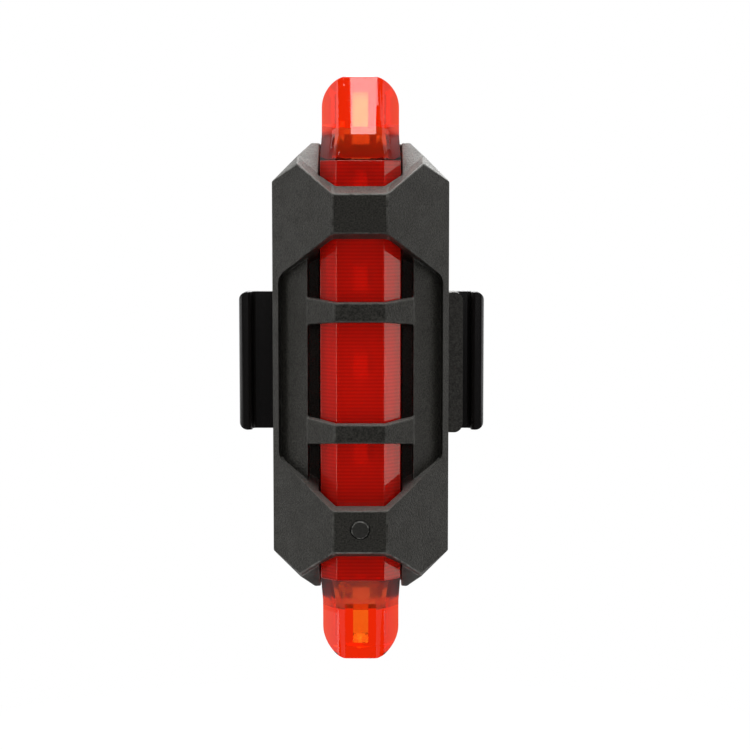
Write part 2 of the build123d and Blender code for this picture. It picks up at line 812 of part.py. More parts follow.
# Mode button: cap in the bridge, flange under it, stem through the lens to the switch
with BuildPart() as mode_button:
    with BuildSketch(face_plane(y_button_flange)):
        with Locations((0, button_z)):
            Circle(button_radius)
    extrude(amount=y_button_flange - y_face + button_proud)
    chamfer(mode_button.faces().sort_by(Axis.Y)[0].edges(), button_dome)
    with BuildSketch(face_plane(y_button_flange + button_flange_thickness)):
        with Locations((0, button_z)):
            Circle(button_flange_radius)
    extrude(amount=button_flange_thickness)
    with BuildSketch(face_plane(y_plunger_front - button_rest_gap)):
        with Locations((0, button_z)):
            Circle(stem_radius)
    extrude(amount=y_plunger_front - button_rest_gap - y_button_flange)
mode_button.part.label = "mode_button"
export_step(mode_button.part, "parts/mode_button.step")

with BuildPart() as button_seal:
    with BuildSketch(face_plane(y_lens + seal_depth)):
        with Locations((0, button_z)):
            Circle(seal_radius)
            Circle(stem_radius + seal_clearance, mode=Mode.SUBTRACT)
    extrude(amount=seal_depth)
button_seal.part.label = "button_seal"
export_step(button_seal.part, "parts/button_seal.step")

# Flat cell between the board and the cover, on a tape and under a foam pad
battery_z = battery_bottom + battery_length / 2
with BuildPart() as battery:
    with BuildSketch(face_plane(y_battery_back)):
        with Locations((0, battery_z)):
            Rectangle(2 * battery_half_width, battery_length)
    extrude(amount=battery_thickness)
    fillet(battery.edges().filter_by(Axis.Z), battery_edge)
battery.part.label = "battery"
export_step(battery.part, "parts/battery.step")

with BuildPart() as battery_tape:
    with BuildSketch(face_plane(y_board_back + tape_thickness)):
        with Locations((0, battery_z)):
            Rectangle(2 * (battery_half_width - tape_margin), battery_length - 2 * tape_margin)
    extrude(amount=tape_thickness)
battery_tape.part.label = "battery_tape"
export_step(battery_tape.part, "parts/battery_tape.step")

with BuildPart() as battery_foam:
    with BuildSketch(face_plane(y_cover_inside)):
        with Locations((0, battery_z)):
            Rectangle(2 * (battery_half_width - foam_margin), battery_length - 2 * foam_margin)
    extrude(amount=foam_thickness)
battery_foam.part.label = "battery_foam"
export_step(battery_foam.part, "parts/battery_foam.step")

# Battery leads: down out of the cell's end, round one bend, to the back of the board
lead_y = (y_battery_front + y_battery_back) / 2
for lead_name, side in (("battery_lead_red", 1), ("battery_lead_black", -1)):
    lead_x = side * lead_spacing / 2
    with BuildPart() as battery_lead:
        with BuildLine() as lead_route:
            FilletPolyline(
                (lead_x, lead_y, battery_bottom),
                (lead_x, lead_y, battery_bottom - lead_drop),
                (lead_x, y_board_back, battery_bottom - lead_drop),
                radius=lead_bend,
            )
        with BuildSketch(Plane.XY.offset(battery_bottom)):
            with Locations((lead_x, lead_y)):
                Circle(lead_radius)
        sweep(path=lead_route.line)
    battery_lead.part.label = lead_name
    export_step(battery_lead.part, f"parts/{lead_name}.step")

# Chips on the back of the board
with BuildPart() as board_chips:
    with BuildSketch(face_plane(y_board_back + chip_thickness)):
        chip_middle = (chip_x, chip_first_z - chip_pitch * (chip_rows - 1) / 2)
        with Locations(chip_middle):
            with GridLocations(chip_column_pitch, chip_pitch, chip_columns, chip_rows):
                Rectangle(chip_length, chip_width)
    extrude(amount=chip_thickness)
board_chips.part.label = "board_chips"
export_step(board_chips.part, "parts/board_chips.step")

with BuildPart() as controller_ic:
    with BuildSketch(face_plane(y_board_back + ic_thickness)):
        with Locations((ic_x, ic_z)):
            Rectangle(ic_width, ic_length)
    extrude(amount=ic_thickness)
    with BuildSketch(face_plane(y_board_back + ic_lead_thickness)):
        with Locations((ic_x, ic_z)):
            with GridLocations(0, ic_lead_pitch, 1, ic_lead_count):
                Rectangle(ic_width + 2 * ic_lead_reach, ic_lead_width)
    extrude(amount=ic_lead_thickness)
controller_ic.part.label = "controller_ic"
export_step(controller_ic.part, "parts/controller_ic.step")

# Charging socket, upright on the board: steel shell, insulator with its tongue, contacts
with BuildPart() as usb_shell:
    with BuildSketch(face_plane(y_usb_mouth)):
        with Locations((0, port_z)):
            RectangleRounded(usb_width, usb_height, usb_corner)
            RectangleRounded(usb_width - 2 * usb_wall, usb_height - 2 * usb_wall,
                             usb_corner - usb_wall, mode=Mode.SUBTRACT)
    extrude(amount=y_usb_mouth - y_board_back)
usb_shell.part.label = "usb_shell"
export_step(usb_shell.part, "parts/usb_shell.step")

usb_inset = 2 * (usb_wall + usb_clearance)
with BuildPart() as usb_insulator:
    with BuildSketch(face_plane(y_board_back + usb_base_depth)):
        with Locations((0, port_z)):
            RectangleRounded(usb_width - usb_inset, usb_height - usb_inset, usb_corner - usb_wall)
    extrude(amount=usb_base_depth)
    with BuildSketch(face_plane(y_usb_mouth - usb_tongue_inset)):
        with Locations((0, port_z)):
            Rectangle(usb_tongue_width, usb_tongue_height)
    extrude(amount=y_usb_mouth - usb_tongue_inset - y_board_back - usb_base_depth)
usb_insulator.part.label = "usb_insulator"
export_step(usb_insulator.part, "parts/usb_insulator.step")

with BuildPart() as usb_contacts:
    with BuildSketch(face_plane(y_board_back + usb_base_depth + contact_length)):
        with Locations((0, port_z - usb_tongue_height / 2 - contact_thickness / 2)):
            with GridLocations(contact_pitch, 0, contact_count, 1):
                Rectangle(contact_width, contact_thickness)
    extrude(amount=contact_length)
usb_contacts.part.label = "usb_contacts"
export_step(usb_contacts.part, "parts/usb_contacts.step")

# Port flap: plate, plug and a knuckle where its tether bends
with BuildPart() as port_flap:
    with BuildSketch(face_plane(y_flap_inside + flap_thickness)):
        with Locations((0, port_z)):
            RectangleRounded(2 * flap_half_width, 2 * flap_half_height, flap_corner)
    extrude(amount=flap_thickness)
    with BuildSketch(face_plane(y_flap_inside)):
        with Locations((0, port_z)):
            RectangleRounded(flap_plug_width, flap_plug_height, flap_plug_corner)
    extrude(amount=flap_plug_depth)
    with BuildSketch(Plane.YZ.offset(-hinge_half_width)):
        with Locations((y_cover_back, hinge_z)):
            Circle(hinge_radius)
        with Locations((y_cover_back, hinge_z + hinge_drop / 2)):
            Rectangle(hinge_radius, hinge_drop)
    extrude(amount=2 * hinge_half_width)
    with BuildSketch(face_plane(y_flap_inside + flap_thickness + flap_lip_rise)):
        with Locations((0, port_z + flap_half_height - flap_lip_inset)):
            Rectangle(flap_lip_width, flap_lip_height)
    extrude(amount=flap_lip_rise)
port_flap.part.label = "port_flap"
export_step(port_flap.part, "parts/port_flap.step")

# Fixed end of the flap's tether, held by a barbed peg
anchor_z = anchor_top - anchor_height / 2
with BuildPart() as flap_anchor:
    with BuildSketch(face_plane(y_flap_inside + anchor_thickness)):
        with Locations((0, anchor_z)):
            Rectangle(2 * hinge_half_width, anchor_height)
    extrude(amount=anchor_thickness)
    with BuildSketch(face_plane(y_flap_inside)):
        with Locations((0, anchor_z)):
            Circle(anchor_peg_radius)
    extrude(amount=y_flap_inside - y_port_pad + flap_seat_gap + anchor_barb_thickness)
    with BuildSketch(face_plane(y_port_pad - flap_seat_gap)):
        with Locations((0, anchor_z)):
            Circle(anchor_barb_radius)
    extrude(amount=anchor_barb_thickness)
flap_anchor.part.label = "flap_anchor"
export_step(flap_anchor.part, "parts/flap_anchor.step")

# Bracket: a plate with a forward hook along each side for the strap
with BuildPart() as mount_bracket:
    with BuildSketch(Plane.XY.offset(-bracket_half_height)) as hook_section:
        lip_front = y_bracket_front - hook_reach
        lip_inside = bracket_half_width - hook_lip
        Polygon(
            *mirrored([
                (lip_inside, y_bracket_front), (lip_inside, lip_front),
                (bracket_half_width, lip_front), (bracket_half_width, y_bracket_back),
            ]),
            align=None,
        )
        fillet(hook_section.vertices().group_by(Axis.Y)[-1], hook_outer_radius)
        fillet(hook_section.vertices().group_by(Axis.Y)[0], hook_tip_radius)
        inner_corners = [
            corner for corner in hook_section.vertices()
            if abs(abs(corner.X) - lip_inside) < same_place
            and abs(corner.Y - y_bracket_front) < same_place
        ]
        fillet(inner_corners, hook_inner_radius)
    extrude(amount=2 * bracket_half_height)
    with BuildSketch(face_plane(y_bracket_back)):
        RectangleRounded(2 * bracket_half_width, 2 * bracket_half_height, bracket_corner)
    extrude(amount=bracket_thickness + hook_reach, mode=Mode.INTERSECT)
    with BuildSketch(face_plane(y_bracket_back)):
        with Locations(*peg_places):
            Circle(peg_radius + screw_clearance)
        with Locations(*bracket_screw_places):
            Circle(bracket_shank_radius + head_clearance)
    extrude(amount=bracket_thickness, mode=Mode.SUBTRACT)
    with BuildSketch(face_plane(y_bracket_back)):
        with Locations(*bracket_screw_places):
            Circle(bracket_head_radius + head_clearance)
    extrude(amount=bracket_head_height + screw_clearance, mode=Mode.SUBTRACT)
mount_bracket.part.label = "mount_bracket"
export_step(mount_bracket.part, "parts/mount_bracket.step")

# Screws: pan heads with a cross, shanks at their thread's outer size
with BuildPart() as bracket_screws:
    with BuildSketch(face_plane(y_bracket_back - screw_clearance)):
        with Locations(*bracket_screw_places):
            Circle(bracket_head_radius)
    extrude(amount=bracket_head_height)
    with BuildSketch(face_plane(y_bracket_back - bracket_head_height)):
        with Locations(*bracket_screw_places):
            Circle(bracket_shank_radius)
    extrude(amount=y_bracket_back - bracket_head_height - y_bracket_front + bracket_screw_grip)
    with BuildSketch(face_plane(y_bracket_back)):
        with Locations(*bracket_screw_places):
            Rectangle(cross_length, cross_width)
            Rectangle(cross_width, cross_length)
    extrude(amount=screw_clearance + cross_depth, mode=Mode.SUBTRACT)
bracket_screws.part.label = "bracket_screws"
export_step(bracket_screws.part, "parts/bracket_screws.step")

with BuildPart() as shell_screws:
    with BuildSketch(face_plane(y_cover_inside + shell_head_height)):
        with Locations(*shell_screw_places):
            Circle(shell_head_radius)
    extrude(amount=shell_head_height)
    with BuildSketch(face_plane(y_cover_inside)):
        with Locations(*shell_screw_places):
            Circle(shell_shank_radius)
    extrude(amount=y_cover_inside - y_rim_end + shell_screw_grip)
    with BuildSketch(face_plane(y_cover_inside + shell_head_height)):
        with Locations(*shell_screw_places):
            Rectangle(cross_length, cross_width)
            Rectangle(cross_width, cross_length)
    extrude(amount=cross_depth, mode=Mode.SUBTRACT)
shell_screws.part.label = "shell_screws"
export_step(shell_screws.part, "parts/shell_screws.step")

# Rubber saddle with grip grooves and two pegs into the bracket
land_y = seatpost_radius - sqrt(seatpost_radius ** 2 - saddle_half_span ** 2)
land_end = saddle_half_span + saddle_land
pad_half_width = land_end + saddle_splay
with BuildPart() as saddle_pad:
    with BuildSketch(Plane.XY.offset(-saddle_half_height)):
        with BuildLine():
            ThreePointArc((-saddle_half_span, land_y), (0, 0), (saddle_half_span, land_y))
            Polyline(
                (saddle_half_span, land_y), (land_end, land_y), (pad_half_width, y_bracket_back),
                (-pad_half_width, y_bracket_back), (-land_end, land_y), (-saddle_half_span, land_y),
            )
        make_face()
    extrude(amount=2 * saddle_half_height)
    groove_first = -saddle_groove_pitch * (saddle_groove_count - 1) / 2 - saddle_groove_width / 2
    for number in range(saddle_groove_count):
        with BuildSketch(Plane.XY.offset(groove_first + saddle_groove_pitch * number)):
            with Locations((0, seatpost_radius)):
                Circle(seatpost_radius + saddle_groove_depth)
        extrude(amount=saddle_groove_width, mode=Mode.SUBTRACT)
    with BuildSketch(face_plane(y_bracket_back)):
        with Locations(*peg_places):
            Circle(peg_radius)
    extrude(amount=peg_length)
saddle_pad.part.label = "saddle_pad"
export_step(saddle_pad.part, "parts/saddle_pad.step")
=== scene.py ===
# %% [markdown]
# # A bicycle tail light
# The light is a ribbed red tube behind a faceted black cage. A clear red block stands out of each
# end. Behind the case sit a hooked bracket for a strap and a rubber saddle for the seatpost.
# The construction model is loaded first, as a frame that nothing here moves. Its pieces have
# knife-sharp edges and one plain colour, so each visible one gets its real finish below.

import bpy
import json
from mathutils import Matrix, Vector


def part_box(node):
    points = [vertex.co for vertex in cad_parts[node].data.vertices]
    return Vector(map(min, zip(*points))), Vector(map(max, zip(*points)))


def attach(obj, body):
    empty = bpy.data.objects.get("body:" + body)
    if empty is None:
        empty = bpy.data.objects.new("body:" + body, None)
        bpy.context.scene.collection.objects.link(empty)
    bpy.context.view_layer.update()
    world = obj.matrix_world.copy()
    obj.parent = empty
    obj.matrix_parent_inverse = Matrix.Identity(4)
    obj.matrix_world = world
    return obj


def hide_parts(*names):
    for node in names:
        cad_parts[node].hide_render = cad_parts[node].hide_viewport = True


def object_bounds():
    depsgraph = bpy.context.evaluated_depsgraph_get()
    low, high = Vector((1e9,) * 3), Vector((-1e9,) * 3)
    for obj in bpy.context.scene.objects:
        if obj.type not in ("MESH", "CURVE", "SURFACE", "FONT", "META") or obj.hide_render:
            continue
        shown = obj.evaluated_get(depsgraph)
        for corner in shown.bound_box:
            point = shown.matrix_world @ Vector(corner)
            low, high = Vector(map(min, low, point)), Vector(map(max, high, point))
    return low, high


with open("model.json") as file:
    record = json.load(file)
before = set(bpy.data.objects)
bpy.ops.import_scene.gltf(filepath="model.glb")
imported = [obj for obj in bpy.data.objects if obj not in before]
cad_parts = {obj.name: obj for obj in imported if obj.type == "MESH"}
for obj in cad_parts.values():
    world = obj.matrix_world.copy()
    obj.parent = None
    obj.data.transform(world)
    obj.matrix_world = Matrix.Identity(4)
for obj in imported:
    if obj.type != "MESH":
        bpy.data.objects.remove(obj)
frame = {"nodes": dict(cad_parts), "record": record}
cad_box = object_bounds()

# %% [markdown]
# ## Units and lookups
# Blender works in metres and this object is 73 mm tall, so sizes are written in millimetres times
# one small unit. Y runs from the lens back to the seatpost, and Z runs up the light. The record
# that comes with the frame says which body each piece moves with and which slot holds its
# material, so both are looked up there instead of being written again.

# %% Units and lookups
import json
import math

import bmesh
import bpy
from mathutils import Vector

mm = 0.001
body_of_node = {
    node: body for body, nodes in frame["record"]["behaviour"]["bodies"].items() for node in nodes
}
slot_of_node = {part["node"]: part["material_slot"] for part in frame["record"]["subparts"]}
print("overall size, mm", [round(side / mm, 2) for side in cad_box[1] - cad_box[0]])

# %% [markdown]
# ## Camera
# The photograph looks straight at the front from slightly above, and from close by: the face of
# the cage is drawn larger than the bracket behind it. A camera can be placed by trial, but the
# perspective gives its distance, so it is set from that: 230 mm from a point inside the case.
# The object stands a little left of and above the middle of the picture, so the camera aims
# beside that point, and no lens shift is needed.

# %% Camera at the photograph's angle
pivot = Vector((0, -13, 0)) * mm
camera_distance = 230 * mm
camera_azimuth = math.radians(0.5)
camera_elevation = math.radians(5)
picture_width = 750
sensor_width = 36.0
pixels_per_mm = 7.75
pivot_pixel = (361, 366)

camera_back = Vector((
    math.sin(camera_azimuth) * math.cos(camera_elevation),
    -math.cos(camera_azimuth) * math.cos(camera_elevation),
    math.sin(camera_elevation),
))
camera_right = Vector((math.cos(camera_azimuth), math.sin(camera_azimuth), 0))
camera_up = camera_back.cross(camera_right)
aim_right = (picture_width / 2 - pivot_pixel[0]) / pixels_per_mm * mm
aim_down = (picture_width / 2 - pivot_pixel[1]) / pixels_per_mm * mm
aim = pivot + camera_right * aim_right - camera_up * aim_down

camera_data = bpy.data.cameras.new("camera")
camera_data.sensor_width = sensor_width
camera_data.lens = pixels_per_mm * camera_distance / mm / picture_width * sensor_width
camera_data.clip_start = 10 * mm
camera_data.clip_end = 10
camera = bpy.data.objects.new("camera", camera_data)
camera.location = pivot + camera_back * camera_distance
camera.rotation_euler = (aim - camera.location).to_track_quat("-Z", "Y").to_euler()
bpy.context.scene.collection.objects.link(camera)
bpy.context.scene.camera = camera
print("lens, mm", round(camera_data.lens, 1))

# %% [markdown]
# ## Wiring nodes
# The floor, the background and every finish are small networks of shader nodes. Each node takes
# the same few lines: make it, set it up, and give each input a plain value or another node's
# output. These helpers hold those lines, so a finish below reads as what it does.


# %% Node helpers
def feed(tree, socket, value):
    """Gives a socket a plain value or another node's output."""
    if isinstance(value, bpy.types.NodeSocket):
        tree.links.new(value, socket)
    elif socket.type == "RGBA":
        socket.default_value = (*value, 1)
    else:
        socket.default_value = value


def add_node(tree, kind, inputs=None, **settings):
    """New node with its settings, and with its inputs fed by name or by number."""
    node = tree.nodes.new(kind)
    for setting, value in settings.items():
        setattr(node, setting, value)
    for socket, value in (inputs or {}).items():
        feed(tree, node.inputs[socket], value)
    return node


def calculated(tree, operation, *values):
    """Result of one calculation on numbers or other nodes' outputs."""
    return add_node(tree, "ShaderNodeMath", dict(enumerate(values)), operation=operation).outputs[0]


def blended(tree, factor, low, high):
    """Number that runs from low to high with factor."""
    return add_node(tree, "ShaderNodeMix", {"Factor": factor, "A": low, "B": high}).outputs["Result"]


def clear_or_camera(tree):
    """1 for a ray that comes from the camera or through clear plastic, and 0 for any other."""
    path = add_node(tree, "ShaderNodeLightPath").outputs
    return calculated(tree, "MAXIMUM", path["Is Camera Ray"], path["Is Transmission Ray"])


# %% [markdown]
# ## Floor
# The floor is a round sheet of pale paper well below the light. It has to look white and still
# keep a soft shadow, without lamps so strong that they burn the object out. So for the camera the
# sheet glows white, and only a fifth of its matte, shadowed self shows under the object, fading
# to none further out. In reflections it glows less, which keeps facets that face down dark.

# %% Floor
floor_drop = 40 * mm
floor_radius = 0.15
floor_sides = 64
shadow_core = 30 * mm
shadow_radius = 120 * mm
floor_white = 0.9
floor_glow = 0.8
floor_mirror = 0.45

floor_mesh = bpy.data.meshes.new("floor")
floor_shape = bmesh.new()
bmesh.ops.create_circle(floor_shape, cap_ends=True, segments=floor_sides, radius=floor_radius)
floor_shape.to_mesh(floor_mesh)
floor_shape.free()
floor = bpy.data.objects.new("floor", floor_mesh)
floor.location.z = cad_box[0].z - floor_drop
bpy.context.scene.collection.objects.link(floor)

floor_finish = bpy.data.materials.new("floor_finish")
floor_finish.use_nodes = True
tree = floor_finish.node_tree
tree.nodes.clear()
place = add_node(tree, "ShaderNodeTexCoord")
from_middle = add_node(
    tree, "ShaderNodeVectorMath", {0: place.outputs["Object"]}, operation="LENGTH")
fade = add_node(tree, "ShaderNodeMapRange", {
    "Value": from_middle.outputs["Value"], "To Min": floor_glow,
    "From Min": shadow_core, "From Max": shadow_radius,
})
mirror_ray = add_node(tree, "ShaderNodeLightPath").outputs["Is Glossy Ray"]
seen = calculated(tree, "MULTIPLY", clear_or_camera(tree), fade.outputs["Result"])
share = calculated(tree, "MAXIMUM", seen, mirror_ray)
paper = add_node(tree, "ShaderNodeBsdfDiffuse", {"Color": (floor_white, floor_white, floor_white)})
glow = add_node(tree, "ShaderNodeEmission", {
    "Strength": blended(tree, mirror_ray, 1.0, floor_mirror),
})
sheet = add_node(tree, "ShaderNodeMixShader", {0: share, 1: paper.outputs[0], 2: glow.outputs[0]})
add_node(tree, "ShaderNodeOutputMaterial", {"Surface": sheet.outputs[0]})
floor_mesh.materials.append(floor_finish)
print("floor, mm below the light", round(floor_drop / mm))

# %% [markdown]
# ## Background
# A studio has its white wall behind the object and is dim behind the camera. The world does the
# same: the camera and clear plastic meet plain white, a mirror ray meets white towards the wall
# and a dim room the other way, and the object is lit at a plain level. The dim room is what
# keeps the front of the black cage black.

# %% Background
sky_light = 0.42
mirror_dim = 0.06
wall_direction = (-0.05, 1.0, 0.1)
wall_dark = -0.1
wall_light = 0.45

world = bpy.data.worlds.new("studio")
bpy.context.scene.world = world
world.use_nodes = True
tree = world.node_tree
tree.nodes.clear()
direction = add_node(tree, "ShaderNodeTexCoord")
toward_wall = add_node(
    tree, "ShaderNodeVectorMath",
    {0: direction.outputs["Generated"], 1: Vector(wall_direction).normalized()},
    operation="DOT_PRODUCT")
wall_edge = add_node(tree, "ShaderNodeMapRange", {
    "Value": toward_wall.outputs["Value"], "To Min": mirror_dim,
    "From Min": wall_dark, "From Max": wall_light,
}, interpolation_type="SMOOTHSTEP")
mirror_ray = add_node(tree, "ShaderNodeLightPath").outputs["Is Glossy Ray"]
mirrored = blended(tree, mirror_ray, sky_light, wall_edge.outputs["Result"])
background = add_node(tree, "ShaderNodeBackground", {
    "Color": (1, 1, 1), "Strength": blended(tree, clear_or_camera(tree), mirrored, 1.0),
})
add_node(tree, "ShaderNodeOutputWorld", {"Surface": background.outputs[0]})
bpy.context.scene.view_settings.view_transform = "Standard"
print("background nodes", len(tree.nodes))

# %% [markdown]
# ## Lamps
# The photograph was lit by large soft lamps: two high above, which brighten everything that faces
# up, and one at each side, which puts an even sheen on the slanted sides of the cage. One behind
# shines through the clear blocks. A small one in front shows as a bright patch on the flat front
# of the top block, and a faint one brightens what faces right. Area lamps give such broad
# reflections. Each lamp's strength is written as the share of plain daylight that it puts on a
# surface facing it, and worked out as watts from its distance.


# %% Soft lamps
def soft_lamp(name, direction, distance, width, height, share):
    """Area lamp aimed at the pivot, which lights a surface facing it with that share."""
    lamp_data = bpy.data.lights.new(name, "AREA")
    lamp_data.shape = "RECTANGLE"
    lamp_data.size = width
    lamp_data.size_y = height
    lamp_data.energy = share * (math.pi * distance) ** 2
    lamp = bpy.data.objects.new(name, lamp_data)
    lamp.location = pivot + Vector(direction).normalized() * distance
    lamp.rotation_euler = (pivot - lamp.location).to_track_quat("-Z", "Y").to_euler()
    lamp.visible_camera = False
    bpy.context.scene.collection.objects.link(lamp)


soft_lamp("lamp_above", (0.1, -0.3, 1.0), distance=0.55, width=0.45, height=0.3, share=0.62)
soft_lamp("lamp_top", (0.0, 0.35, 0.95), distance=0.5, width=0.4, height=0.4, share=0.6)
soft_lamp("lamp_left", (-1.0, -0.3, 0.15), distance=0.5, width=0.25, height=0.5, share=0.3)
soft_lamp("lamp_right", (1.0, -0.3, 0.25), distance=0.5, width=0.25, height=0.5, share=0.16)
soft_lamp("lamp_behind", (0.3, 1.0, 0.7), distance=0.6, width=0.5, height=0.5, share=0.6)
soft_lamp(
    "lamp_window", (0.0458, -0.983, 0.19), distance=0.314, width=0.04, height=0.037, share=0.036)
soft_lamp("lamp_side", (1.0, 0.0, -0.09), distance=0.5, width=0.12, height=0.25, share=0.06)

# %% [markdown]
# ## Patterns
# A real surface is never one flat colour: it has grain, worn places and bands. Pictures could
# carry them, but they need unwrapping and blur up close. Patterns that are worked out from the
# point being shaded don't, and in Object coordinates they stay put on a piece when it moves.
# Noise keeps mostly to the middle of its range, so it is spread from there.

# %% Pattern helpers
noise_low = 0.3
noise_high = 0.7


def noise(finish, size, detail=2.0):
    """Noise whose grains are about size across."""
    tree = finish.node_tree
    place = add_node(tree, "ShaderNodeTexCoord")
    texture = add_node(tree, "ShaderNodeTexNoise", {
        "Vector": place.outputs["Object"], "Scale": 1 / size, "Detail": detail,
    })
    return texture.outputs["Fac"]


def spread(finish, factor, low, high):
    """Number that runs from low to high as factor runs over the middle of its range."""
    ranged = add_node(finish.node_tree, "ShaderNodeMapRange", {
        "Value": factor, "From Min": noise_low, "From Max": noise_high, "To Min": low,
        "To Max": high,
    })
    return ranged.outputs["Result"]


def object_axis(finish, axis):
    """One coordinate of the shaded point."""
    place = add_node(finish.node_tree, "ShaderNodeTexCoord")
    axes = add_node(finish.node_tree, "ShaderNodeSeparateXYZ", {0: place.outputs["Object"]})
    return axes.outputs[axis]


def within(finish, value, middle, reach):
    """1 where a value is nearer to middle than reach, and 0 elsewhere."""
    return calculated(finish.node_tree, "COMPARE", value, middle, reach)


def marked(finish, mark):
    """Value of a mark that a mesh carries on its faces, and 0 where it carries none."""
    reader = add_node(finish.node_tree, "ShaderNodeAttribute", attribute_name=mark)
    return reader.outputs["Fac"]


# %% [markdown]
# ## Finishes
# Every finish starts from the Principled shader, which covers plastic, rubber, metal and glass.
# What is the same all over is written on the shader's own sockets. What varies is a pattern that
# runs the colour or the roughness from one value to another, or that raises a relief.


# %% Finish helpers
def new_finish(name, **settings):
    """Material with a Principled shader whose plain sockets are set by name."""
    finish = bpy.data.materials.new(name)
    finish.use_nodes = True
    for socket, value in settings.items():
        feed(finish.node_tree, shader_socket(finish, socket.replace("_", " ")), value)
    return finish


def shader_socket(finish, socket):
    """One input of a finish's main shader."""
    return finish.node_tree.nodes["Principled BSDF"].inputs[socket]


def vary_colour(finish, factor, low, high):
    """Base colour that runs between two colours with factor. low None keeps what is there."""
    base = shader_socket(finish, "Base Color")
    start = low or base.links[0].from_socket
    ramp = add_node(
        finish.node_tree, "ShaderNodeMix", {"Factor": factor, "A": start, "B": high},
        data_type="RGBA")
    feed(finish.node_tree, base, ramp.outputs["Result"])


def vary_roughness(finish, factor, low, high):
    """Roughness that runs between two values with factor."""
    feed(finish.node_tree, shader_socket(finish, "Roughness"), spread(finish, factor, low, high))


def add_bump(finish, height, depth):
    """Relief of the given depth in metres."""
    bump = add_node(finish.node_tree, "ShaderNodeBump", {
        "Height": height, "Distance": depth, "Strength": 1.0,
    })
    feed(finish.node_tree, shader_socket(finish, "Normal"), bump.outputs["Normal"])


# %% [markdown]
# ## Moulded black plastic
# The cage and cover are one black plastic with the fine texture that a spark-eroded mould leaves: a
# grain of about 0.2 mm, seen as tiny points of light. The cover's colours are set lighter all the
# same, as painted light for its lit receiver block. The rounded edges are painted pale as a painted
# highlight, unevenly, and weaker between the ends, where the sunk window lies. What faces up is
# painted greyer, as painted light from above. The softened meshes below mark the faces of their
# rounded edges and the faces that face up, and the finish lightens where it finds a mark.
# A slightly warm sheen gives the plastic the photograph's brownish grey. The saddle's rubber and
# the flap's silicone come from such moulds too. They scatter light softly and show no sharp
# reflection, so they take the same finish with more roughness and a weaker grain.

# %% Textured black plastic
textured_shine = 0.35
warm_shine = (1.0, 0.97, 0.91)
grain_size = 0.2 * mm
patch_size = 0.9 * mm
sheen_size = 2.5 * mm
# Painted highlight: the pale grey that rounded edges and the button's rim are painted with, and how
# strongly, patchy and weaker between the ends.
painted_highlight_grey = (0.17, 0.17, 0.16)
least_edge_highlight = 0.05
most_edge_highlight = 0.7
middle_reach = 21.6 * mm
middle_highlight = 0.35
# Painted light: the grey that what faces up is painted with, as if lit from above.
painted_top_light = (0.15, 0.148, 0.138)
least_top_light = 0.2


def textured_plastic(name, dark, light, roughness, depth):
    """Black plastic or rubber with a grain, painted highlights on rounded edges and painted light on
    what faces up.
    """
    finish = new_finish(name, Specular_IOR_Level=textured_shine, Specular_Tint=warm_shine)
    tree = finish.node_tree
    grain = noise(finish, grain_size, detail=3.0)
    vary_colour(finish, spread(finish, grain, 0, 1), dark, light)
    # Painted highlight on the rounded edges: patchy, and weaker between the ends.
    patchy = spread(finish, noise(finish, patch_size, detail=4.0), least_edge_highlight, most_edge_highlight)
    in_middle = within(finish, object_axis(finish, "Z"), 0, middle_reach)
    highlight_strength = calculated(tree, "MULTIPLY", patchy, blended(tree, in_middle, 1.0, middle_highlight))
    painted_edges = calculated(tree, "MULTIPLY", marked(finish, "rounded_edge"), highlight_strength)
    vary_colour(finish, painted_edges, None, painted_highlight_grey)
    # Painted light from above on what faces up, patchy with the grain.
    top_light = spread(finish, grain, least_top_light, 1)
    lit_from_above = calculated(tree, "MULTIPLY", marked(finish, "upward"), top_light)
    vary_colour(finish, lit_from_above, None, painted_top_light)
    vary_roughness(finish, noise(finish, sheen_size), *roughness)
    add_bump(finish, grain, depth)
    return finish


finishes = {
    "shell_plastic": textured_plastic(
        "shell_finish", dark=(0.001, 0.001, 0.001), light=(0.034, 0.033, 0.028),
        roughness=(0.42, 0.55), depth=0.09 * mm),
    # The cover's colours are lighter than the cage's: painted light, for its receiver block that the
    # lamps light.
    "cover_plastic": textured_plastic(
        "cover_finish", dark=(0.012, 0.012, 0.011), light=(0.05, 0.048, 0.044),
        roughness=(0.45, 0.58), depth=0.04 * mm),
    "button_plastic": textured_plastic(
        "button_finish", dark=(0.012, 0.012, 0.011), light=(0.024, 0.024, 0.022),
        roughness=(0.4, 0.5), depth=0.015 * mm),
    "saddle_rubber": textured_plastic(
        "saddle_finish", dark=(0.014, 0.014, 0.014), light=(0.022, 0.022, 0.022),
        roughness=(0.6, 0.75), depth=0.015 * mm),
    "flap_silicone": textured_plastic(
        "flap_finish", dark=(0.018, 0.018, 0.018), light=(0.026, 0.026, 0.026),
        roughness=(0.55, 0.7), depth=0.01 * mm),
}
print("textured finishes", sorted(finishes))

# %% [markdown]
# The button's rim is painted pale as a painted highlight, unevenly, so it shows as a thin broken
# ring. A ring is a band of distances from the button's middle line, and noise that runs below zero
# leaves the gaps in it.

# %% Painted highlight on the button's rim
rim_radius = 1.04 * mm
rim_half_width = 0.07 * mm
rim_patch = 0.4 * mm
rim_gaps = -0.6
button_low, button_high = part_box("mode_button")
button_z = (button_low.z + button_high.z) / 2

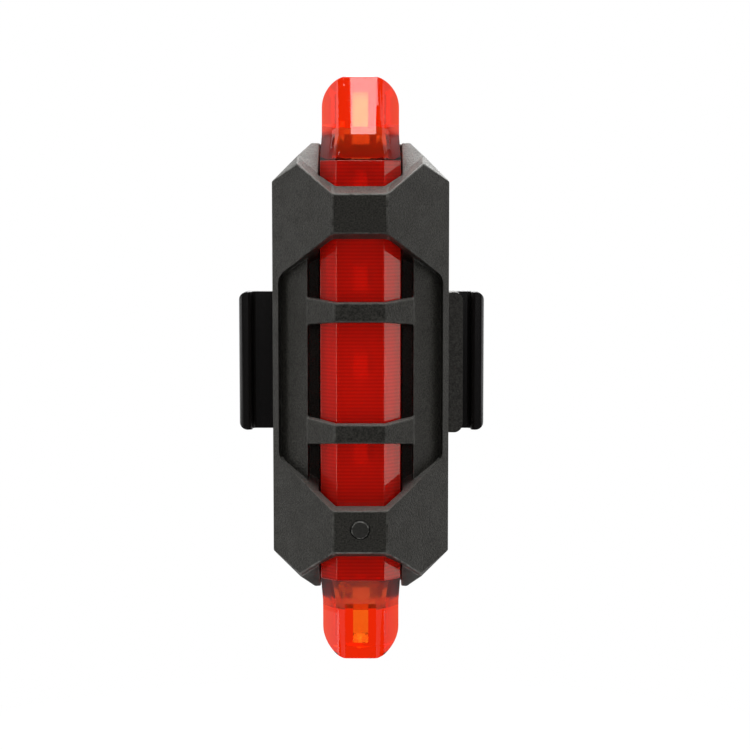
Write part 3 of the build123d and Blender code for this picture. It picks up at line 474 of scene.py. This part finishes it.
button_finish = finishes["button_plastic"]
tree = button_finish.node_tree
place = add_node(tree, "ShaderNodeTexCoord")
from_middle = add_node(
    tree, "ShaderNodeVectorMath", {0: place.outputs["Object"], 1: (0, 0, button_z)},
    operation="SUBTRACT")
sideways = add_node(
    tree, "ShaderNodeVectorMath", {0: from_middle.outputs[0], 1: (1, 0, 1)},
    operation="MULTIPLY")
distance = add_node(tree, "ShaderNodeVectorMath", {0: sideways.outputs[0]}, operation="LENGTH")
rim = within(button_finish, distance.outputs["Value"], rim_radius, rim_half_width)
broken = spread(button_finish, noise(button_finish, rim_patch), rim_gaps, 1)
vary_colour(button_finish, calculated(tree, "MULTIPLY", rim, broken), None, painted_highlight_grey)
print("rim radius, mm", rim_radius / mm)

# %% [markdown]
# ## Glossy plastic and resin
# The strap bracket comes from a polished mould, so it is glossy with a faint unevenness that
# keeps its reflections from looking drawn. The pieces that stay inside the case need no more
# than that either: the switch, the chips, the seal, the tape, the foam and the leads.

# %% Glossy plastics
ripple_size = 1.2 * mm
ripple_depth = 0.01 * mm


def glossy_plastic(name, colour, roughness):
    """Plastic from a polished mould, with a faint unevenness."""
    finish = new_finish(name, Base_Color=colour, Roughness=roughness)
    add_bump(finish, noise(finish, ripple_size), ripple_depth)
    return finish


finishes.update({
    "bracket_gloss": glossy_plastic("bracket_finish", (0.005, 0.004, 0.004), 0.24),
    "switch_plastic": glossy_plastic("switch_finish", (0.02, 0.02, 0.022), 0.4),
    "insulator_plastic": glossy_plastic("insulator_finish", (0.015, 0.015, 0.015), 0.4),
    "plunger_plastic": glossy_plastic("plunger_finish", (0.75, 0.72, 0.66), 0.35),
    "ic_resin": glossy_plastic("ic_finish", (0.02, 0.02, 0.021), 0.45),
    "chip_ceramic": glossy_plastic("chip_finish", (0.12, 0.09, 0.06), 0.4),
    "seal_rubber": glossy_plastic("seal_finish", (0.02, 0.02, 0.02), 0.7),
    "foam_grey": glossy_plastic("foam_finish", (0.05, 0.05, 0.05), 0.9),
    "tape_film": glossy_plastic("tape_finish", (0.7, 0.66, 0.58), 0.5),
    "lead_red": glossy_plastic("lead_red_finish", (0.5, 0.01, 0.01), 0.35),
    "lead_black": glossy_plastic("lead_black_finish", (0.015, 0.015, 0.015), 0.35),
})
print("finishes so far", len(finishes))

# %% [markdown]
# ## Clear red lens
# The lens and end blocks are clear red polycarbonate. A red paint would look flat. Real clear
# plastic is coloured all through, so thin edges look peach and thick parts look deep red. Glass with
# absorption in its volume does the same by itself. The lens is only partly clear, which stands for
# the light that its fine ribs scatter back. The lines that its ribs make by bending the light are
# painted shade: bands of a darker red at the ribs' pitch, drawn by a wave pattern.

# %% Lens finish
lens_tint = (1.0, 0.012, 0.003)
lens_passed = (0.95, 0.25, 0.02)
lens_shine = (1.0, 0.93, 0.78)
rib_pitch = 0.44 * mm
rib_shade = 0.72
rib_waver = 0.12
wave_radians = 20
plastic_ior = 1.5


def clear_red(name, tint, roughness, clearness, passed, density):
    """Clear plastic whose body absorbs every colour but red. passed is what it lets through."""
    finish = new_finish(
        name, Base_Color=tint, Roughness=roughness, IOR=plastic_ior,
        Transmission_Weight=clearness)
    tree = finish.node_tree
    body = add_node(tree, "ShaderNodeVolumeAbsorption", {"Color": passed, "Density": density})
    feed(tree, tree.nodes["Material Output"].inputs["Volume"], body.outputs[0])
    return finish


lens_finish = clear_red(
    "lens_finish", tint=lens_tint, roughness=0.04, clearness=0.62, passed=lens_passed,
    density=700)
feed(lens_finish.node_tree, shader_socket(lens_finish, "Specular Tint"), lens_shine)
place = add_node(lens_finish.node_tree, "ShaderNodeTexCoord")
bands = add_node(lens_finish.node_tree, "ShaderNodeTexWave", {
    "Vector": place.outputs["Object"], "Scale": math.tau / (wave_radians * rib_pitch),
    "Distortion": rib_waver,
}, bands_direction="Z")
# Painted shade: the rib lines are bands of this darker red.
painted_rib_shade = [part * rib_shade for part in lens_tint]
vary_colour(lens_finish, bands.outputs["Fac"], painted_rib_shade, lens_tint)
finishes["lens_red"] = lens_finish
print("bands per mm", round(mm / rib_pitch, 2))

# %% [markdown]
# ## Clear red end blocks
# Each end block is solid clear plastic round an inner chamber. Light has a long way through it,
# so its plastic lets more orange through than the lens's, or the block would look nearly black.
# The chamber's walls are frosted near the case and painted a deep red there, which is painted shade
# for the dark case and board behind them, while the slot further out stays clear and shows the
# lamp's light. One face of the mesh can hold both, so the frost and the painted shade cover the
# marked faces only up to the chamber's end.

# %% End block finish
block_tint = (1.0, 0.76, 0.55)
block_passed = (0.985, 0.62, 0.0)
block_polish = 0.015
chamber_painted_shade = (0.9, 0.12, 0.03)
chamber_clear = 0.6
chamber_frost = 0.15
chamber_end = 30.3 * mm

block_finish = clear_red(
    "block_finish", tint=block_tint, roughness=block_polish, clearness=1.0,
    passed=block_passed, density=900)
tree = block_finish.node_tree
near_case = within(block_finish, object_axis(block_finish, "Z"), 0, chamber_end)
frosted_and_shaded = calculated(tree, "MULTIPLY", marked(block_finish, "inside"), near_case)
# Painted shade: the frosted chamber walls near the case take a deep red.
vary_colour(block_finish, frosted_and_shaded, block_tint, chamber_painted_shade)
feed(
    tree, shader_socket(block_finish, "Transmission Weight"),
    blended(tree, frosted_and_shaded, 1.0, chamber_clear))
feed(
    tree, shader_socket(block_finish, "Roughness"),
    blended(tree, frosted_and_shaded, block_polish, chamber_frost))
finishes["end_block_red"] = block_finish
print("frost ends at, mm", round(chamber_end / mm, 1))

# %% [markdown]
# ## Board and lamps
# The board is seen through the red lens, so it decides how bright the red is. It is coated
# white, with a dark patch beside each lamp on one side, and its bare ends, which reach into the
# end blocks, are dark green. The patches repeat at the lamps' pitch, so one patch is drawn and
# its height is wrapped. The lamps are off in the photograph, yet their pale resin gathers some
# light, and a faint glow of their own stands for it.

# %% Board and lamp finishes
board_white = (0.9, 0.9, 0.88)
board_green = (0.02, 0.05, 0.03)
board_white_reach = 25 * mm
patch_pitch = 11.2 * mm
patch_first = 0.5 * mm
patch_x = 2.2 * mm
patch_half_width = 0.7 * mm
patch_half_height = 1.2 * mm
patch_shade = 0.85
lamp_glow = 0.32

board_finish = glossy_plastic("board_finish", board_white, 0.35)
tree = board_finish.node_tree
up_board = object_axis(board_finish, "Z")
up_patch = calculated(
    tree, "WRAP", up_board, patch_first + patch_pitch / 2, patch_first - patch_pitch / 2)
patch = calculated(
    tree, "MULTIPLY",
    within(board_finish, object_axis(board_finish, "X"), patch_x, patch_half_width),
    within(board_finish, up_patch, patch_first, patch_half_height))
vary_colour(
    board_finish, calculated(tree, "MULTIPLY", patch, patch_shade), board_white, board_green)
coated = within(board_finish, up_board, 0, board_white_reach)
vary_colour(board_finish, calculated(tree, "SUBTRACT", 1, coated), None, board_green)
finishes["board_mask"] = board_finish

lamp_finish = glossy_plastic("lamp_finish", (0.95, 0.93, 0.85), 0.3)
feed(lamp_finish.node_tree, shader_socket(lamp_finish, "Emission Color"), (1.0, 0.85, 0.75))
feed(lamp_finish.node_tree, shader_socket(lamp_finish, "Emission Strength"), lamp_glow)
finishes["lamp_resin"] = lamp_finish
print("patch pitch, mm", round(patch_pitch / mm, 1))

# %% [markdown]
# ## Metals
# The screws and the charging socket are steel, its contacts are brass, and the cell is wrapped in
# foil. They show only from behind, or not at all. A faint uneven polish is enough for them.

# %% Metal finishes
polish_size = 0.3 * mm
polish_swing = 0.2


def plain_metal(name, colour, roughness):
    """Metal with a faint uneven polish."""
    finish = new_finish(name, Base_Color=colour, Metallic=1.0)
    vary_roughness(
        finish, noise(finish, polish_size), roughness * (1 - polish_swing),
        roughness * (1 + polish_swing))
    return finish


finishes["cell_foil"] = plain_metal("cell_finish", (0.6, 0.62, 0.66), 0.35)
finishes["socket_steel"] = plain_metal("socket_finish", (0.66, 0.66, 0.67), 0.25)
finishes["contact_brass"] = plain_metal("contact_finish", (0.83, 0.62, 0.26), 0.2)
finishes["screw_steel"] = plain_metal("screw_finish", (0.55, 0.55, 0.56), 0.25)
print("finishes", len(finishes), "missing", sorted(set(slot_of_node.values()) - set(finishes)))

# %% [markdown]
# ## Soft edges for moulded pieces
# No moulded or machined edge is a knife edge: it has a small radius, and that radius is what catches
# the light as a thin bright line. The frame's mesh is loose triangles, so a copy is merged, its flat
# faces are joined again, and the edges that turn sharply are bevelled. A bevel that is limited by
# its shortest edge shrinks to nothing on such a mesh, so it isn't limited, and edges beside a face
# too narrow for it are left out. The new faces are marked, for the finish's painted edge highlight,
# and the faces that face up are marked too, for its painted light from above. Smooth shading would
# tilt the light over a large flat face that ends in a bevel, so each flat face is noted, to be
# shaded flat.

# %% Copies with soft edges
weld = 0.001 * mm
flat_degrees = 1
sharp_degrees = 20
edge_segments = 2
room_for_edge = 1.6
plane_area = 12 * mm ** 2
upward_slope = 0.5


def across(face):
    """Rough width of a face, which is small for the strips that make up a curve."""
    return 2 * face.calc_area() / face.calc_perimeter()


def softened(node, radius):
    """Copy of a node's mesh with its sharp edges rounded and its faces marked."""
    shape = bmesh.new()
    shape.from_mesh(frame["nodes"][node].data)
    bmesh.ops.remove_doubles(shape, verts=shape.verts, dist=weld)
    bmesh.ops.dissolve_limit(
        shape, angle_limit=math.radians(flat_degrees), verts=shape.verts, edges=shape.edges)
    sharp = [
        edge for edge in shape.edges
        if edge.is_manifold and edge.calc_face_angle(0) > math.radians(sharp_degrees)
        and min(across(face) for face in edge.link_faces) > radius * room_for_edge
    ]
    # Marks for the finish: bevel faces get the painted edge highlight, and faces that face up get
    # the painted light from above.
    rounded_edge = shape.faces.layers.float.new("rounded_edge")
    upward = shape.faces.layers.float.new("upward")
    plane = shape.faces.layers.int.new("plane")
    turning = set(sharp)
    for face in shape.faces:
        gentle = [edge for edge in face.edges if edge.is_manifold and edge not in turning]
        face[plane] = not gentle or face.calc_area() > plane_area
        face[upward] = float(face.normal.z > upward_slope)
    if radius > 0:
        rounded = bmesh.ops.bevel(
            shape, geom=sharp, offset=radius, offset_type="OFFSET", segments=edge_segments,
            profile=0.5, affect="EDGES", clamp_overlap=False, material=-1)
        for face in rounded["faces"]:
            face[rounded_edge] = 1.0
            face[plane] = 0
    piece_mesh = bpy.data.meshes.new(node + "_soft")
    shape.to_mesh(piece_mesh)
    shape.free()
    return piece_mesh


# %% [markdown]
# A finished mesh takes the place of a node of the frame. It rides on that node's body, so that it
# moves with it, and it takes the node's material slot and finish.

# %% Put a mesh in a node's place
smooth_degrees = 35


def show(name, piece_mesh, node, by_angle=True):
    """Puts a finished mesh in the scene in place of the node it stands for."""
    piece = bpy.data.objects.new(name, piece_mesh)
    bpy.context.scene.collection.objects.link(piece)
    piece_mesh.materials.clear()
    piece_mesh.materials.append(finishes[slot_of_node[node]])
    piece_mesh.shade_smooth()
    if by_angle:
        piece_mesh.set_sharp_from_angle(angle=math.radians(smooth_degrees))
    if "plane" in piece_mesh.attributes:
        for face, item in zip(piece_mesh.polygons, piece_mesh.attributes["plane"].data):
            face.use_smooth = not item.value
        piece_mesh.attributes.remove(piece_mesh.attributes["plane"])
    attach(piece, body_of_node[node])
    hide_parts(node)
    print(name, len(piece_mesh.polygons), "faces")


# %% [markdown]
# Each piece gets the radius that its own mould or press would leave. The clear end blocks keep
# their model's edges: light passes through them, and the thin faces of a bevel would show inside
# as dark streaks. They are copied all the same, for the marks on their faces.

# %% Soften the pieces that show
edge_radii = {
    "front_shell": 0.18, "rear_cover": 0.2, "mount_bracket": 0.15, "saddle_pad": 0.15,
    "end_cap_top": 0, "end_cap_bottom": 0, "mode_button": 0.1, "port_flap": 0.12,
    "flap_anchor": 0.1, "bracket_screws": 0.08, "shell_screws": 0.08, "battery": 0.3,
    "usb_shell": 0.06,
}
for node, radius in edge_radii.items():
    show(node + "_soft", softened(node, radius * mm), node)

# %% [markdown]
# The walls of the chamber in each end block are marked, for the finish to frost and to paint with
# shade. They are the faces whose middle lies inside a box round the chamber.

# %% Mark the chambers of the end blocks
chamber_half_width = 3.0 * mm
chamber_front = -20.1 * mm
chamber_back = -11.5 * mm
for node in ("end_cap_top", "end_cap_bottom"):
    block_mesh = bpy.data.objects[node + "_soft"].data
    inside = block_mesh.attributes.new("inside", "FLOAT", "FACE")
    for face in block_mesh.polygons:
        x, y = face.center.xy
        inside.data[face.index].value = float(
            abs(x) < chamber_half_width and chamber_front < y < chamber_back)
    print(node, "inner faces", sum(item.value > 0 for item in inside.data))

# %% [markdown]
# ## The ribbed lens
# The lens is a tube with a flat front, two slanted sides and an open back. Its section is a loop
# of edges, listed for the right half and mirrored. The two outer corners on each side are
# rounded a little, because a moulded corner catches the light as a thin line.

# %% Section of the lens
lens_low, lens_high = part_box("lens")
lens_wall = 1.2 * mm
lens_chamfer = 2.1 * mm
lens_edge = 0.12 * mm
lens_edge_segments = 3
flange_reach = 1.0 * mm
flange_thickness = 1.2 * mm
lens_half_width = lens_high.x - flange_reach
wall_turn = lens_wall * (math.sqrt(2) - 1)
flange_front = lens_high.y - flange_thickness
outer_corners = [
    (lens_half_width - lens_chamfer, lens_low.y),
    (lens_half_width, lens_low.y + lens_chamfer),
]
rib_corners = [
    (lens_half_width - lens_wall, lens_low.y + lens_chamfer + wall_turn),
    (lens_half_width - lens_chamfer - wall_turn, lens_low.y + lens_wall),
]
back_corners = [
    (lens_half_width, flange_front), (lens_half_width, lens_high.y),
    (lens_half_width - lens_wall, lens_high.y),
]
right_half = outer_corners + back_corners + rib_corners
section = right_half + [(-x, y) for x, y in reversed(right_half)]


def at_corner(place, corners):
    """Whether a point is at one of the corners, on either side of the lens."""
    return any(math.dist((abs(place.x), place.y), corner) < weld for corner in corners)


shape = bmesh.new()
shape.faces.new([shape.verts.new((x, y, lens_low.z)) for x, y in section])
outer = [vert for vert in shape.verts if at_corner(vert.co, outer_corners)]
bmesh.ops.bevel(
    shape, geom=outer, offset=lens_edge, offset_type="OFFSET", segments=lens_edge_segments,
    profile=0.5, affect="VERTICES", material=-1)
print("points in the section", len(shape.verts))

# %% [markdown]
# Fine ribs cross the inside of the lens. The section is extruded up the light in short steps,
# and at each step its inner points move in or out, so the ribs are real geometry that bends the
# light. Deep ribs would hide the lamps behind them, which the photograph shows, so these are
# shallow, and the finish's bands draw most of each line.

# %% Extrude the ribs
rib_depth = 0.006 * mm
rib_steps = 4
base = [vert.co.copy() for vert in shape.verts]
ribbed = [number for number, place in enumerate(base) if at_corner(place, rib_corners)]
middle = Vector((0, lens_low.y + lens_half_width, lens_low.z))
step_count = round((lens_high.z - lens_low.z) / rib_pitch) * rib_steps
step_height = (lens_high.z - lens_low.z) / step_count
edges = list(shape.edges)
for step in range(1, step_count + 1):
    made = bmesh.ops.extrude_edge_only(shape, edges=edges)["geom"]
    ring = [item for item in made if isinstance(item, bmesh.types.BMVert)]
    edges = [item for item in made if isinstance(item, bmesh.types.BMEdge)]
    depth = rib_depth * math.sin(math.pi * step / rib_steps) ** 2
    for vert in ring:
        number = min(range(len(base)), key=lambda n: (vert.co.xy - base[n].xy).length)
        vert.co.xy = base[number].xy
        if number in ribbed:
            vert.co.xy += (base[number] - middle).xy.normalized() * depth
        vert.co.z = lens_low.z + step * step_height
bmesh.ops.edgeloop_fill(shape, edges=edges)
bmesh.ops.recalc_face_normals(shape, faces=shape.faces)
print("lens steps", step_count)

# %% [markdown]
# A flange along each side holds the lens between the cage and the board. The side's back strip
# is already a row of faces, so extruding that row outwards makes the flange in one piece with
# the tube. The row itself is then an inner wall, so it is taken away.

# %% Extrude the flanges
flange_half_length = 24.31 * mm
facing_side = 0.9
at_side = 0.99
lens_weld = 0.0001 * mm


def is_flange_seat(face, side):
    """Whether a face is in the back strip of the lens's left or right side."""
    centre = face.calc_center_median()
    outermost = face.normal.x * side > facing_side and centre.x * side > lens_half_width * at_side
    return outermost and centre.y > flange_front and abs(centre.z) < flange_half_length


for side in (-1, 1):
    seat = [face for face in shape.faces if is_flange_seat(face, side)]
    made = bmesh.ops.extrude_face_region(shape, geom=seat)["geom"]
    moved = [item for item in made if isinstance(item, bmesh.types.BMVert)]
    bmesh.ops.translate(shape, verts=moved, vec=(side * flange_reach, 0, 0))
    bmesh.ops.delete(shape, geom=[face for face in seat if face.is_valid], context="FACES")
bmesh.ops.remove_doubles(shape, verts=shape.verts, dist=lens_weld)
bmesh.ops.recalc_face_normals(shape, faces=shape.faces)
lens_mesh = bpy.data.meshes.new("lens_ribbed")
shape.to_mesh(lens_mesh)
print("open edges", sum(not edge.is_manifold for edge in shape.edges))
shape.free()

# %% [markdown]
# The button's stem passes through the lens, in a stepped hole that also holds its seal. A hole
# through a ribbed wall is easiest to cut with a Boolean, whose cutter is a turned profile.

# %% Cut the stem hole
stem_hole = 0.95 * mm
seal_seat = 1.35 * mm
seal_depth = 0.55 * mm
past = 0.5 * mm
turning_steps = 48
turned_weld = 0.0005 * mm


def turned(profile, middle):
    """Closed shape turned about a line along Y through middle, from (radius, y) points."""
    turning = bmesh.new()
    points = [turning.verts.new((middle.x + radius, y, middle.z)) for radius, y in profile]
    line = [turning.edges.new(pair) for pair in zip(points, points[1:])]
    bmesh.ops.spin(
        turning, geom=points + line, cent=middle, axis=(0, 1, 0), angle=math.tau,
        steps=turning_steps, use_merge=True)
    bmesh.ops.remove_doubles(turning, verts=turning.verts, dist=turned_weld)
    bmesh.ops.recalc_face_normals(turning, faces=turning.faces)
    return turning


def cut(piece_mesh, cutter_shape):
    """Copy of a mesh with the cutter's space taken away."""
    cutter_mesh = bpy.data.meshes.new("cutter")
    cutter_shape.to_mesh(cutter_mesh)
    cutter = bpy.data.objects.new("cutter", cutter_mesh)
    piece = bpy.data.objects.new("cut", piece_mesh)
    for item in (cutter, piece):
        bpy.context.scene.collection.objects.link(item)
    boolean = piece.modifiers.new("cut", "BOOLEAN")
    boolean.object = cutter
    boolean.operation = "DIFFERENCE"
    boolean.solver = "EXACT"
    finished = piece.evaluated_get(bpy.context.evaluated_depsgraph_get())
    result = bpy.data.meshes.new_from_object(finished)
    bpy.data.objects.remove(piece)
    bpy.data.objects.remove(cutter)
    bpy.data.meshes.remove(cutter_mesh)
    return result


seat_floor = lens_low.y + seal_depth
stem_cutter = turned([
    (0, lens_low.y - past), (seal_seat, lens_low.y - past), (seal_seat, seat_floor),
    (stem_hole, seat_floor), (stem_hole, lens_low.y + lens_wall + past),
    (0, lens_low.y + lens_wall + past),
], Vector((0, 0, button_z)))
lens_mesh = cut(lens_mesh, stem_cutter)
stem_cutter.free()
print("lens faces after the cut", len(lens_mesh.polygons))

# %% [markdown]
# The lens is shaded smooth, or its level steps would show as a stack of plates. The edges that
# run up it, from the front corners outwards, stay sharp, so each facet reads as flat.

# %% Show the lens
rounded_reach = lens_edge * 3
show("lens_ribbed", lens_mesh, "lens", by_angle=False)
upright_edges = 0
for edge in lens_mesh.edges:
    low, high = (lens_mesh.vertices[index].co for index in edge.vertices)
    upright = abs(high.z - low.z) > (high.xy - low.xy).length
    edge.use_edge_sharp = upright and abs(low.x) > lens_half_width - lens_chamfer - rounded_reach
    upright_edges += upright
print("upright edges", upright_edges)

# %% [markdown]
# ## Finish the nodes that stay
# The remaining pieces are inside the case, and a few show through the red. They have the right
# shape as they are, so they only take their material.

# %% Finish the frame's own nodes
kept = {node: piece for node, piece in frame["nodes"].items() if not piece.hide_render}
for node, piece in kept.items():
    piece.data.materials.clear()
    piece.data.materials.append(finishes[slot_of_node[node]])
print("kept nodes", sorted(kept))
